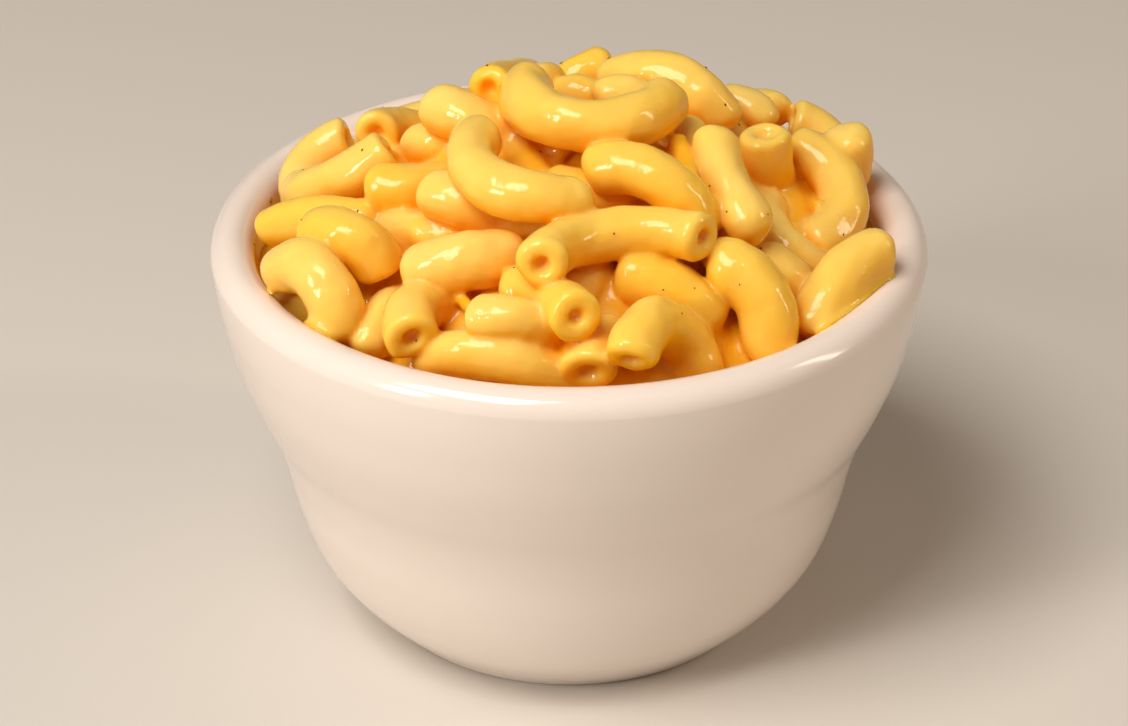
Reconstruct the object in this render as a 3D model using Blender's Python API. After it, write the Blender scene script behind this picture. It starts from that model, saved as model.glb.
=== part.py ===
"""Macaroni and cheese heaped in a small white china bowl.

Two solids, in metres, +Z up. The origin is the middle of the ring that the bowl stands on.
  bowl            turned china: foot ring, waisted belly, thick rolled lip
  macaroni_heap   the filling: it fits the bowl's inside with a hair of room, and its top is the uneven
                  outline of elbow macaroni lying on a dome, each under its coat of sauce
"""

import math

import bpy
import numpy as np

# All sizes are in millimetres and angles in degrees. MM turns millimetres to Blender's metres.
MM = 0.001
SHARP_ANGLE = 50.0

# Bowl
BOWL_HEIGHT = 58.0
LIP_THICKNESS = 6.0
LIP_CENTRE_RADIUS = 46.0
FOOT_RADIUS = 27.5
FOOT_WIDTH = 4.0
FOOT_BEARING_WIDTH = 2.4
FOOT_EDGE = 0.9
FOOT_RECESS = 2.4
RECESS_DOME = 0.6
FLOOR_RADIUS = 24.0
FLOOR_HEIGHT = 7.5
SEGMENTS = 56

# The belly from above the foot to the lip, as (radius, height): it swells, draws in to a waist at
# mid height, and flares to the lip.
BELLY = [(29.6, 2.6), (33.4, 6.8), (36.6, 11.8), (38.7, 18.2), (40.0, 24.2), (41.6, 29.6),
         (43.9, 34.6), (46.4, 41.3), (48.1, 48.6)]
# The inside from under the lip to the floor's edge.
INSIDE = [(43.2, 48.6), (41.7, 41.3), (39.0, 34.4), (36.4, 28.4), (34.2, 19.0), (30.6, 11.2)]
BELLY_STEPS = 2
LIP_STEPS = 6

# Heap
DOME_RISE = 16.5
DOME_EDGE = -1.5
DOME_REACH = 40.0
DOME_POWER = 2.2
DOME_MIDDLE = (1.0, 4.0)
CORE_SINK = 5.0
SAUCE_COAT = 0.2
EDGE_SINK = 3.2
FLANK_START = 0.86
FLANK_SLOPE = 2.6
WALL_ROOM = 0.4
HEAP_RADIUS = 42.6
HEAP_RINGS = 28
HEAP_SIDES = 3
BEND_STEPS = 28

# Elbows laid on the dome by hand, by place. Each is one end, the middle of its bend and its other
# end, as (right, back, up) from the middle of the rim's plane, and its thickness.
CROWN = [
    ((-4.5, 6.5, 18), (1.5, -7, 18), (12.4, 2, 17.8), 7.0),
    ((6, 17.5, 12), (12, 13.5, 15.5), (21.5, 9.5, 9.8), 7.0),
    ((-1, 23.5, 9), (2.5, 24.5, 11), (6, 25.5, 12), 6.0),
    ((-18, 6.5, 14), (-13.5, 3, 14), (-7, 5, 10.5), 6.8),
    ((-11, 6, 17), (-9, 13.5, 14.5), (-6, 25, 9.5), 6.2),
    ((4, 7, 14.5), (7, 7.5, 15.5), (10.5, 7, 14.5), 5.4),
    ((-1.5, 12.5, 12), (1, 11.5, 14), (4, 11.5, 12), 5.0),
    ((-10.6, -5, 15.6), (-11, -17.5, 15.3), (2, -19, 13.3), 6.4),
    ((2.8, -12, 13.2), (11.2, -14.5, 14.2), (16.9, -17, 6.5), 6.8),
    ((-9, 2.5, 10), (-4, 0.5, 10.6), (0.4, -2.5, 10.4), 6.6),
    ((-7.5, 12, 14), (-5, 12.5, 15), (-3.4, 16.5, 12.5), 4.6),
    ((-3, -8, 9), (2.5, -10.5, 9.6), (8, -9, 9), 6.4),
]
LEFT = [
    ((-31, 16.5, 4.6), (-35.2, 15, 2.6), (-36.8, 8, -0.4), 6.2),
    ((-24.5, 1, 10), (-30.5, 1, 6), (-37.5, 8.5, 0.5), 6.6),
    ((-26.2, 8, 9.3), (-24.2, 13.5, 7.7), (-20.5, 15.5, 5.5), 5.8),
    ((-20.8, 8, 7.8), (-17.2, 5.5, 9.2), (-13, 7.5, 7.5), 5.8),
    ((-26.2, -5.2, 7.4), (-21, -6, 8), (-15.5, -0.5, 5.5), 6.8),
    ((-18.4, -11.5, 10), (-13.2, -14, 9.8), (-8, -8, 4), 6.6),
    ((-41, -2.5, -0.2), (-34.5, -6, 3.6), (-26, -8, 3.8), 5.8),
    ((-33.4, -13.5, 4.2), (-28.8, -17, 6.3), (-25.2, -18, 2.5), 7.0),
    ((-38, -17, 0), (-34.2, -21, 4), (-30.2, -26, -3), 7.0),
    ((-38, -12, -7), (-35.5, -16, -4), (-31.5, -18.5, -4.5), 6.0),
]
FRONT = [
    ((-20.2, -22, 3.8), (-14.5, -24, 6.3), (-7.5, -20.5, 5.8), 7.2),
    ((-24.5, -9, 2.5), (-19, -12.5, 4.5), (-14, -13, 3.5), 5.8),
    ((-20, -36, 1.7), (-19.8, -28.5, 2), (-9.5, -21, -2.4), 7.0),
    ((-26.8, -28, -5), (-25, -25.5, -2.4), (-21.5, -17, -5), 6.2),
    ((-18, -31.5, -4.6), (-10.5, -36, -0.4), (-1, -34.5, -5.6), 6.6),
    ((-12, -34, 3.6), (-8.4, -35.2, 4.4), (-3, -29.5, -1.5), 5.4),
    ((1, -38, 6), (-2, -32, 5), (-8.5, -26.5, 4), 6.6),
    ((-3.5, -33, 11), (0, -25.5, 10), (17.2, -25, 10.6), 6.3),
    ((6.6, -23.5, 4), (13, -25.5, 3), (18.6, -25.5, -1.8), 7.6),
    ((2.4, -38.5, -1.9), (3.2, -33.8, -0.9), (5, -29, -2.3), 7.0),
    ((7.9, -41, 1.7), (11, -34, 2.7), (16.8, -32.5, -7), 6.6),
    ((21, -18.5, -6.5), (24, -19.5, -7.5), (26.5, -20.5, -9.5), 6.6),
    ((-20.8, -14.5, 4), (-18.2, -12.5, 4.9), (-15, -9.5, 3.3), 4.8),
]
RIGHT = [
    ((19.5, -3, 15), (20.5, -9.5, 11.5), (25, -18, 7.5), 6.2),
    ((15.5, 5.5, 12.5), (16.5, -0.5, 9.5), (18.5, -7, 6), 6.0),
    ((26.4, 2.5, 12.2), (27, 3.2, 7), (28.5, 6.5, 1), 6.6),
    ((30.5, 9, 6.5), (37.2, 3, 3.5), (32, -6.5, -0.8), 6.8),
    ((31.6, 21, 5.2), (34.6, 20.5, 4), (37.6, 18, 2), 6.0),
    ((37.7, 9.5, 9.4), (38.5, 10, 5.4), (38, 11.5, 1), 6.8),
    ((24, 24, 4), (27, 24.5, 5.2), (29.6, 22.5, 4.8), 5.8),
    ((21.5, 17.5, 9), (25, 16.5, 9.5), (27, 14.5, 7.5), 5.2),
    ((31, 6, -3), (33.5, 2.5, -1), (36.5, 7.5, -5), 6.0),
    ((42.2, -13, 3), (36.8, -17.8, 1.8), (31.2, -24.6, -4), 6.6),
    ((25, -14, 2), (28, -16, 0.5), (31, -16.5, -2.5), 6.2),
    ((18.2, -22.5, 5), (24.6, -25, 3), (24.4, -28.5, -5.4), 7.4),
]
BACK = [
    ((1, 34.5, 4.5), (7, 37.5, 2.5), (14.5, 34.8, 1.5), 6.6),
    ((9, 27.5, 7.4), (15, 31, 5), (21, 28, 3.2), 6.8),
    ((17, 34.5, 0), (24, 31.5, -1), (29.5, 26.5, -2), 6.6),
    ((-12.5, 28.5, 2.6), (-7.5, 33, 1.6), (-1, 29.5, 4.6), 6.8),
    ((-26, 20.5, 3), (-21.5, 25.5, 2), (-15, 20.5, 6.5), 6.8),
    ((-31, 20.5, -1.5), (-27.5, 27, -3.5), (-19.5, 31, -2), 6.8),
    ((-16, 35, -4), (-8.5, 37.5, -3.5), (-1, 38, -3), 6.4),
    ((3, 38.8, -4.5), (12, 38, -4.5), (20, 34, -5), 6.4),
    ((27, 29, -4.5), (33, 23.5, -3), (37, 17, -4), 6.4),
    ((9, 21.5, 7.5), (14.5, 22.5, 9), (19, 21.5, 5.5), 6.2),
    ((-17.5, 13, 7.5), (-14.5, 17.5, 8), (-10, 20.5, 6), 6.2),
]

# Elbows one layer down, which fill the gaps between those laid by hand. TOUCH says how near the
# middles of two of them may come, and of one of them and one laid by hand, as a share of where
# their sides would meet.
BENEATH_SEED = 7
BENEATH_TRIES = 6000
BENEATH_SINK = 6.0
BENEATH_REACH = 39.2
BENEATH_SPAN = (10.5, 17.5)
BENEATH_BULGE = (3.0, 7.0)
BENEATH_THICKNESS = (6.0, 7.4)
BENEATH_TILT = 2.0
BENEATH_TOUCH = (0.74, 0.58)
LINE_STEPS = 12


def clear_scene():
    """Removes whatever the file holds."""
    for item in list(bpy.data.objects):
        bpy.data.objects.remove(item)


def material(name, colour, roughness):
    """A Principled material of one colour."""
    made = bpy.data.materials.new(name)
    made.use_nodes = True
    shader = made.node_tree.nodes["Principled BSDF"]
    shader.inputs["Base Color"].default_value = (*colour, 1.0)
    shader.inputs["Roughness"].default_value = roughness
    shader.inputs["Metallic"].default_value = 0.0
    return made


def add_solid(name, points, faces, finish):
    """An object of that name from points in millimetres, shaded smooth."""
    mesh = bpy.data.meshes.new(name)
    mesh.from_pydata([tuple(MM * value for value in point) for point in points], [], faces)
    mesh.validate()
    mesh.shade_smooth()
    mesh.set_sharp_from_angle(angle=math.radians(SHARP_ANGLE))
    mesh.materials.append(finish)
    solid = bpy.data.objects.new(name, mesh)
    bpy.context.scene.collection.objects.link(solid)
    return solid


def smooth_line(stations, steps):
    """Points on a smooth curve through the stations, with that many steps between each two."""
    padded = [stations[0], *stations, stations[-1]]
    line = []
    for before, start, end, after in zip(padded, padded[1:], padded[2:], padded[3:]):
        for step in range(steps):
            t = step / steps
            weights = (
                (-t + 2 * t**2 - t**3) / 2,
                (2 - 5 * t**2 + 3 * t**3) / 2,
                (t + 4 * t**2 - 3 * t**3) / 2,
                (-(t**2) + t**3) / 2,
            )
            spots = (before, start, end, after)
            line.append(tuple(sum(w * spot[axis] for w, spot in zip(weights, spots)) for axis in (0, 1)))
    return [*line, stations[-1]]


def lip_line():
    """The rolled lip: a half round from its outer side over its top to its inner side."""
    radius = LIP_THICKNESS / 2
    height = BOWL_HEIGHT - radius
    angles = [math.pi * step / LIP_STEPS for step in range(LIP_STEPS + 1)]
    return [(LIP_CENTRE_RADIUS + radius * math.cos(a), height + radius * math.sin(a)) for a in angles]


def bowl_profile():
    """(radius, height) from the middle of the underside, out and up over the lip, to the floor."""
    inner_edge = FOOT_RADIUS - FOOT_WIDTH
    bearing = FOOT_RADIUS - FOOT_EDGE
    foot = [
        (0.0, FOOT_RECESS + RECESS_DOME),
        (inner_edge - FOOT_EDGE, FOOT_RECESS),
        (bearing - FOOT_BEARING_WIDTH, 0.0),
        (bearing, 0.0),
        (FOOT_RADIUS, FOOT_EDGE),
    ]
    floor = [(FLOOR_RADIUS, FLOOR_HEIGHT), (0.0, FLOOR_HEIGHT)]
    return [*foot, *smooth_line(BELLY, BELLY_STEPS), *lip_line(), *INSIDE, *floor]


def turned(profile, segments):
    """Points and faces of a profile turned about Z. Its first and last points lie on the axis."""
    points = [(0.0, 0.0, profile[0][1])]
    for radius, height in profile[1:-1]:
        for segment in range(segments):
            angle = 2 * math.pi * segment / segments
            points.append((radius * math.cos(angle), radius * math.sin(angle), height))
    points.append((0.0, 0.0, profile[-1][1]))
    last = len(points) - 1
    rings = len(profile) - 2
    faces = []
    for segment in range(segments):
        following = (segment + 1) % segments
        faces.append((0, 1 + following, 1 + segment))
        for ring in range(rings - 1):
            low = 1 + ring * segments
            high = low + segments
            faces.append((low + segment, low + following, high + following, high + segment))
        top = 1 + (rings - 1) * segments
        faces.append((last, top + segment, top + following))
    return points, faces


def dome(x, y):
    """Height over the rim's plane at which the middle of an elbow lies."""
    reach = np.hypot(x - DOME_MIDDLE[0], y - DOME_MIDDLE[1]) / DOME_REACH
    return DOME_RISE - (DOME_RISE - DOME_EDGE) * reach**DOME_POWER


def bend(start, middle, end, steps):
    """Points along the round arc from start through middle to end."""
    start, middle, end = (np.array(point, float) for point in (start, middle, end))
    to_middle = middle - start
    to_end = end - start
    normal = np.cross(to_middle, to_end)
    size = normal @ normal
    share = (to_end @ to_end) * np.cross(normal, to_middle)
    share += (to_middle @ to_middle) * np.cross(to_end, normal)
    centre = start + share / (2 * size)
    radius = np.linalg.norm(start - centre)
    across = (start - centre) / radius
    along = np.cross(normal / math.sqrt(size), across)
    sweep = math.atan2((end - centre) @ along, (end - centre) @ across) % (2 * math.pi)
    angle = np.linspace(0, sweep, steps)[:, None]
    return centre + radius * (np.cos(angle) * across + np.sin(angle) * along)


def drawn(draw):
    """Draws one elbow lying under the dome: its three spots and its thickness."""
    away = BENEATH_REACH * math.sqrt(draw.uniform())
    bearing, heading = draw.uniform(0, 2 * math.pi, 2)
    half = draw.uniform(*BENEATH_SPAN) / 2
    bulge = draw.uniform(*BENEATH_BULGE)
    thickness = draw.uniform(*BENEATH_THICKNESS)
    tilt = draw.uniform(-BENEATH_TILT, BENEATH_TILT)
    x = away * math.cos(bearing)
    y = away * math.sin(bearing)
    along = (math.cos(heading), math.sin(heading))
    flat = [(x - half * along[0], y - half * along[1]),
            (x - bulge * along[1], y + bulge * along[0]),
            (x + half * along[0], y + half * along[1])]
    lifts = (-tilt, 0.0, tilt)
    return [(*spot, float(dome(*spot)) - BENEATH_SINK + lift) for spot, lift in zip(flat, lifts)], thickness


def apart(line, radius, tubes, touch):
    """Whether a tube stays that share of touching away from every other tube."""
    return all(
        np.linalg.norm(line[:, None] - other[None], axis=2).min() > touch * (radius + other_radius)
        for other, other_radius in tubes
    )


def beneath(laid):
    """Elbows one layer down, each where it scarcely presses into those before it."""
    draw = np.random.default_rng(BENEATH_SEED)
    upper = [(bend(*elbow[:3], LINE_STEPS), elbow[3] / 2) for elbow in laid]
    lower = []
    added = []
    for _ in range(BENEATH_TRIES):
        spots, thickness = drawn(draw)
        if max(math.hypot(*spot[:2]) for spot in spots) > BENEATH_REACH:
            continue
        line = bend(*spots, LINE_STEPS)
        radius = thickness / 2
        if apart(line, radius, lower, BENEATH_TOUCH[0]) and apart(line, radius, upper, BENEATH_TOUCH[1]):
            lower.append((line, radius))
            added.append((*spots, thickness))
    return added


def heap_top(x, y, elbows):
    """Height of the heap's top at the points x, y: the core, or the elbow that stands above it."""
    from_axis = np.hypot(x, y) / HEAP_RADIUS
    top = np.maximum(dome(x, y) - CORE_SINK, -EDGE_SINK * from_axis**2)
    for elbow in elbows:
        radius = elbow[3] / 2 + SAUCE_COAT
        line = bend(*elbow[:3], BEND_STEPS)
        gap = np.hypot(x[:, None] - line[:, 0], y[:, None] - line[:, 1]) / radius
        rounding = np.sqrt(1 - np.minimum(gap, FLANK_START) ** 2)
        flank = FLANK_SLOPE * np.maximum(gap - FLANK_START, 0)
        top = np.maximum(top, (line[:, 2] + radius * (rounding - flank)).max(axis=1))
    return top + BOWL_HEIGHT


def disc(rings, radius):
    """Points (x, y) of a disc whose ring number n has 6 n points, and its triangles."""
    spots = [(0.0, 0.0)]
    for ring in range(1, rings + 1):
        for step in range(6 * ring):
            angle = 2 * math.pi * step / (6 * ring)
            spots.append((radius * ring / rings * math.cos(angle), radius * ring / rings * math.sin(angle)))
    faces = [(0, 1 + step, 1 + (step + 1) % 6) for step in range(6)]
    for ring in range(2, rings + 1):
        inner = 1 + 3 * (ring - 1) * (ring - 2)
        outer = 1 + 3 * ring * (ring - 1)
        for side in range(6):
            for step in range(ring):
                a = outer + (side * ring + step) % (6 * ring)
                b = outer + (side * ring + step + 1) % (6 * ring)
                c = inner + (side * (ring - 1) + step) % (6 * (ring - 1))
                faces.append((a, b, c))
                if step < ring - 1:
                    d = inner + (side * (ring - 1) + step + 1) % (6 * (ring - 1))
                    faces.append((c, b, d))
    return np.array(spots), faces


def heap_solid(elbows):
    """Points and faces of the filling: a relief on a disc, closed by sides that follow the bowl."""
    spots, faces = disc(HEAP_RINGS, HEAP_RADIUS)
    heights = heap_top(spots[:, 0], spots[:, 1], elbows)
    points = [(*spot, height) for spot, height in zip(spots, heights)]
    edge = 6 * HEAP_RINGS
    first = len(points) - edge
    count = edge // HEAP_SIDES
    sides = [(HEAP_RADIUS, BOWL_HEIGHT - LIP_THICKNESS)]
    sides += [(radius - WALL_ROOM, height) for radius, height in INSIDE]
    sides += [(FLOOR_RADIUS - WALL_ROOM, FLOOR_HEIGHT + WALL_ROOM)]
    for radius, height in sides:
        for step in range(count):
            angle = 2 * math.pi * step / count
            points.append((radius * math.cos(angle), radius * math.sin(angle), height))
    below = first + edge
    for step in range(count):
        low = below + step
        next_low = below + (step + 1) % count
        rim = [first + (HEAP_SIDES * step + k) % edge for k in range(HEAP_SIDES + 1)]
        faces.append((low, next_low, rim[-1]))
        faces += [(low, rim[k + 1], rim[k]) for k in range(HEAP_SIDES)]
    for ring in range(len(sides) - 1):
        high = below + ring * count
        low = high + count
        for step in range(count):
            following = (step + 1) % count
            faces.append((low + step, low + following, high + following, high + step))
    bottom = below + (len(sides) - 1) * count
    points.append((0.0, 0.0, FLOOR_HEIGHT + WALL_ROOM))
    faces += [(len(points) - 1, bottom + (step + 1) % count, bottom + step) for step in range(count)]
    return points, faces


def main():
    clear_scene()
    china = material("white_china", (0.83, 0.79, 0.72), 0.18)
    cheese = material("cheese_macaroni", (0.90, 0.50, 0.08), 0.35)
    add_solid("bowl", *turned(bowl_profile(), SEGMENTS), china)
    laid = CROWN + LEFT + FRONT + RIGHT + BACK
    add_solid("macaroni_heap", *heap_solid(laid + beneath(laid)), cheese)


main()
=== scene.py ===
"""Macaroni and cheese heaped in a small white china bowl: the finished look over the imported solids.

Sizes in the classes are millimetres, but for the softboxes', which are metres. The middle of the rim's
plane is the origin of the heap's own measures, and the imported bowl's box says how high that plane stands.
"""

import logging
import math
from collections.abc import Sequence
from dataclasses import dataclass, field
from enum import Enum

import bmesh
import bpy
import numpy as np
import openvdb
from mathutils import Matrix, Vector


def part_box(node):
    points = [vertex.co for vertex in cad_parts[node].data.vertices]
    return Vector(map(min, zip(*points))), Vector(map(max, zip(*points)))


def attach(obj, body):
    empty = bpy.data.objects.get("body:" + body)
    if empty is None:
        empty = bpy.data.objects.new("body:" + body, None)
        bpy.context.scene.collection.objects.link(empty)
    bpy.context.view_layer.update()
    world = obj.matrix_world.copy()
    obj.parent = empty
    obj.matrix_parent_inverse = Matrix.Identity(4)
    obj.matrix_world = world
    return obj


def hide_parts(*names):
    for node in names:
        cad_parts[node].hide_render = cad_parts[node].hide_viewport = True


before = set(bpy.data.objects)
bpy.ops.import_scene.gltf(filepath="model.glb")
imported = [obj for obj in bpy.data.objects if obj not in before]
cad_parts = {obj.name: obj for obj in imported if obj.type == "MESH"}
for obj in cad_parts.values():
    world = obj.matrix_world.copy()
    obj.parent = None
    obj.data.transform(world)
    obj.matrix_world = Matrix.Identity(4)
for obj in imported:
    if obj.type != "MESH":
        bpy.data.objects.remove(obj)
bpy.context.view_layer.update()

MM = 0.001
LOG = logging.getLogger("macaroni_bowl")

Spot = tuple[float, float, float]
Span = tuple[float, float]
Tree = bpy.types.NodeTree
Socket = bpy.types.NodeSocket
Constants = dict[str | int, object]
Links = dict[str | int, Socket]

# Stands in for nought where something is divided by it.
TINY = 1e-12

# Where most of a noise node's values lie.
MIDDLE_OF_NOISE: Span = (0.3, 0.7)


class Cut(Enum):
    """Which ends of an elbow are clean cuts that show the bore; the others are pressed shut and round."""

    NEITHER = (False, False)
    FIRST = (True, False)
    LAST = (False, True)
    BOTH = (True, True)


Row = tuple[Spot, Spot, Spot, float] | tuple[Spot, Spot, Spot, float, Cut]


# ---- Small helpers --------------------


def linear(colour: str) -> tuple[float, float, float, float]:
    """Turns an sRGB hex colour to the linear values that the shaders take.

    Args:
        colour: Six hex digits, such as "FBC64B".

    Returns:
        Red, green, blue and an alpha of one.
    """
    parts = [int(colour[start : start + 2], 16) / 255 for start in (0, 2, 4)]
    straight = [part / 12.92 if part <= 0.04045 else ((part + 0.055) / 1.055) ** 2.4 for part in parts]
    return (straight[0], straight[1], straight[2], 1.0)


def feed(node: bpy.types.Node, values: Constants | None = None, links: Links | None = None) -> None:
    """Sets a node's constants and links what comes into it.

    Args:
        node: The node.
        values: Socket name or number to constant.
        links: Socket name or number to the output that feeds it.
    """
    for socket, value in (values or {}).items():
        node.inputs[socket].default_value = value
    for socket, source in (links or {}).items():
        node.id_data.links.new(source, node.inputs[socket])


def add_node(
    tree: Tree, kind: str, values: Constants | None = None, links: Links | None = None, **settings: object
) -> bpy.types.Node:
    """Adds a node with its settings, constants and incoming links.

    Args:
        tree: The node tree that gets it.
        kind: The node's type name.
        values: Socket name or number to constant.
        links: Socket name or number to the output that feeds it.
        **settings: The node's own properties.

    Returns:
        The new node.
    """
    node = tree.nodes.new(kind)
    for name, setting in settings.items():
        setattr(node, name, setting)
    feed(node, values, links)
    return node


def noise(tree: Tree, place: Socket, size_mm: float, detail: float = 2.0, roughness: float = 0.5) -> Socket:
    """Cloudy unevenness of about 0 to 1, whose largest blotches are about size_mm across."""
    values = {"Scale": 1 / (size_mm * MM), "Detail": detail, "Roughness": roughness}
    return add_node(tree, "ShaderNodeTexNoise", values, {"Vector": place}).outputs["Fac"]


def spread(tree: Tree, value: Socket, low: float, high: float, to: Span = (0.0, 1.0)) -> Socket:
    """Stretches a value's range, from low to high, over another range and holds it there."""
    values = {"From Min": low, "From Max": high, "To Min": to[0], "To Max": to[1]}
    return add_node(tree, "ShaderNodeMapRange", values, {"Value": value}).outputs[0]


def mixed(tree: Tree, share: Socket, one: Socket | str, other: str) -> Socket:
    """Mixes a share of the other colour into one that is given in hex digits or by another node."""
    values: Constants = {"B": linear(other)}
    links: Links = {"Factor": share}
    if isinstance(one, str):
        values["A"] = linear(one)
    else:
        links["A"] = one
    return add_node(tree, "ShaderNodeMix", values, links, data_type="RGBA").outputs["Result"]


def bump(tree: Tree, height: Socket, strength: float, depth_mm: float) -> Socket:
    """Makes a finish look as if it rose and fell by depth_mm."""
    values = {"Strength": strength, "Distance": depth_mm * MM}
    return add_node(tree, "ShaderNodeBump", values, {"Height": height}).outputs["Normal"]


def carried(tree: Tree, name: str) -> Socket:
    """Reads a value that the mesh carries at its points."""
    return add_node(tree, "ShaderNodeAttribute", attribute_name=name).outputs["Fac"]


def new_material(name: str) -> tuple[bpy.types.Material, Tree, bpy.types.Node, Socket]:
    """Makes an empty material with one Principled shader.

    Args:
        name: The material's name.

    Returns:
        The material, its node tree, the shader node and the object's own coordinates.
    """
    material = bpy.data.materials.new(name)
    material.use_nodes = True
    tree = material.node_tree
    tree.nodes.clear()
    shader = add_node(tree, "ShaderNodeBsdfPrincipled")
    add_node(tree, "ShaderNodeOutputMaterial", links={"Surface": shader.outputs["BSDF"]})
    return material, tree, shader, add_node(tree, "ShaderNodeTexCoord").outputs["Object"]


def new_piece(
    name: str,
    points: np.ndarray,
    faces: Sequence[Sequence[int]],
    materials: list[bpy.types.Material],
) -> bpy.types.Object:
    """Makes a smooth-shaded mesh object from points in millimetres and links it to the scene.

    Args:
        name: The object's name.
        points: One row of x, y, z for each point, in millimetres.
        faces: Point numbers of each face.
        materials: The object's material slots, in order.

    Returns:
        The new object.
    """
    mesh = bpy.data.meshes.new(name)
    mesh.from_pydata((points * MM).tolist(), [], faces)
    mesh.validate()
    mesh.shade_smooth()
    for material in materials:
        mesh.materials.append(material)
    piece = bpy.data.objects.new(name, mesh)
    bpy.context.scene.collection.objects.link(piece)
    return piece


def join_to_root(piece: bpy.types.Object, slot: str, *replaced: str) -> bpy.types.Object:
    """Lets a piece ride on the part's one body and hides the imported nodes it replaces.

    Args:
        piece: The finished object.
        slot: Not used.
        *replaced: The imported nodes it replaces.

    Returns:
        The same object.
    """
    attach(piece, "root")
    if replaced:
        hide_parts(*replaced)
    LOG.info("%s: %d faces", piece.name, len(piece.data.polygons))
    return piece


@dataclass(frozen=True)
class Ripple:
    """Smooth seeded unevenness in space: a sum of plane waves, mostly within -1 to 1."""

    seed: int
    shortest: float
    longest: float
    waves: int = 7

    def __call__(self, points: np.ndarray) -> np.ndarray:
        """Reads the unevenness at points.

        Args:
            points: Rows of x, y, z in millimetres.

        Returns:
            One value for each point.
        """
        draw = np.random.default_rng(self.seed)
        total = np.zeros(len(points))
        for _ in range(self.waves):
            way = draw.normal(size=3)
            way *= 2 * math.pi / (draw.uniform(self.shortest, self.longest) * np.linalg.norm(way))
            total += np.sin(points @ way + draw.uniform(0, 2 * math.pi))
        return total / math.sqrt(self.waves)


# ---- Finishes --------------------


@dataclass(frozen=True)
class CheeseSauce:
    """Cheese sauce over boiled durum pasta: a smooth starch and fat emulsion, poured hot and stirred in.

    It is cloudy and lets light in for a few millimetres, so shaded sides glow orange, and its wet
    skin gives a soft wide highlight with a thin sharp one on top. Its colour also carries painted shade:
    deeper orange on the sides turned from the top softbox and in crowded crevices.
    """

    pasta: str = "FCC326"
    pale_pasta: str = "FED77C"
    pooled: str = "FCB92C"
    # Colour of the sides turned from the top softbox: partly sauce run-down, partly painted shade.
    runoff_and_shade_tint: str = "FBB204"
    # Colour of crowded crevices: painted shade.
    deep: str = "F6A806"
    tone_range: Span = (0.25, 1.2)
    blotch_share: float = 0.5
    blotch_mm: float = 9.0
    roughness: Span = (0.30, 0.45)
    ripple_mm: float = 1.1
    ripple_depth_mm: float = 0.12
    glow_mm: float = 2.8

    def make(self) -> bpy.types.Material:
        """Builds the material; it reads the sauce mesh's tone, pooling, and its painted shade shares for the
        sides turned from the lights and for crowded crevices.
        """
        material, tree, shader, place = new_material("cheese_sauce_emulsion")
        blotch = noise(tree, place, self.blotch_mm, detail=3.0, roughness=0.55)
        toned = add_node(
            tree,
            "ShaderNodeMath",
            {1: self.blotch_share},
            {0: blotch, 2: carried(tree, "tone")},
            operation="MULTIPLY_ADD",
        )
        colour = mixed(tree, spread(tree, toned.outputs[0], *self.tone_range), self.pasta, self.pale_pasta)
        # Painted shade: the run-off share and the crevice share mix deeper oranges into the colour; pooling
        # is thicker sauce.
        for trait, tint in (("pooling", self.pooled), ("runoff_and_painted_shade", self.runoff_and_shade_tint), ("crevice_shade", self.deep)):
            colour = mixed(tree, carried(tree, trait), colour, tint)
        skin = bump(tree, noise(tree, place, self.ripple_mm), 0.5, self.ripple_depth_mm)
        constants = {
            "IOR": 1.38,
            "Specular IOR Level": 0.1,
            "Subsurface Weight": 0.7,
            "Subsurface Radius": (1.0, 0.9, 0.12),
            "Subsurface Scale": self.glow_mm * MM,
            "Coat Weight": 0.66,
            "Coat Roughness": 0.04,
            "Coat IOR": 1.45,
        }
        links = {
            "Base Color": colour,
            "Roughness": spread(tree, blotch, *MIDDLE_OF_NOISE, self.roughness),
            "Normal": skin,
            "Coat Normal": skin,
        }
        feed(shader, constants, links)
        return material


@dataclass(frozen=True)
class BoiledPasta:
    """Boiled durum wheat macaroni, extruded through a die and cut: matt and pale yellow."""

    flesh: str = "F8D06F"
    grain_mm: float = 1.2
    glow_mm: float = 2.0

    def make(self) -> bpy.types.Material:
        """Builds the material."""
        material, tree, shader, place = new_material("boiled_durum_pasta")
        constants = {
            "Base Color": linear(self.flesh),
            "Roughness": 0.4,
            "Subsurface Weight": 0.4,
            "Subsurface Radius": (1.0, 0.5, 0.14),
            "Subsurface Scale": self.glow_mm * MM,
        }
        feed(shader, constants, {"Normal": bump(tree, noise(tree, place, self.grain_mm), 0.2, 0.1)})
        return material


@dataclass(frozen=True)
class GlazedChina:
    """Vitrified hotel china, jiggered on a mould, dipped in a clear warm glaze and fired.

    The glaze is glassy with the faintest waviness, so highlights are bright with soft edges.
    """

    glaze: str = "EFE3DA"
    thin_glaze: str = "EEE2D7"
    cloud_mm: float = 25.0
    wave_mm: float = 7.0
    roughness: Span = (0.10, 0.17)

    def make(self) -> bpy.types.Material:
        """Builds the material."""
        material, tree, shader, place = new_material("glazed_hotel_china")
        cloud = noise(tree, place, self.cloud_mm)
        links = {
            "Base Color": mixed(tree, cloud, self.glaze, self.thin_glaze),
            "Roughness": spread(tree, cloud, *MIDDLE_OF_NOISE, self.roughness),
            "Normal": bump(tree, noise(tree, place, self.wave_mm, detail=1.0), 0.12, 0.25),
        }
        feed(shader, {"IOR": 1.52}, links)
        return material


@dataclass(frozen=True)
class BareChina:
    """The foot ring's standing face, wiped free of glaze before firing: white, dry and fine-grained."""

    body: str = "DDD3C4"
    grit_mm: float = 0.5

    def make(self) -> bpy.types.Material:
        """Builds the material."""
        material, tree, shader, place = new_material("bare_china_body")
        grit = bump(tree, noise(tree, place, self.grit_mm, detail=3.0), 0.4, 0.05)
        feed(shader, {"Base Color": linear(self.body), "Roughness": 0.7}, {"Normal": grit})
        return material


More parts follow.
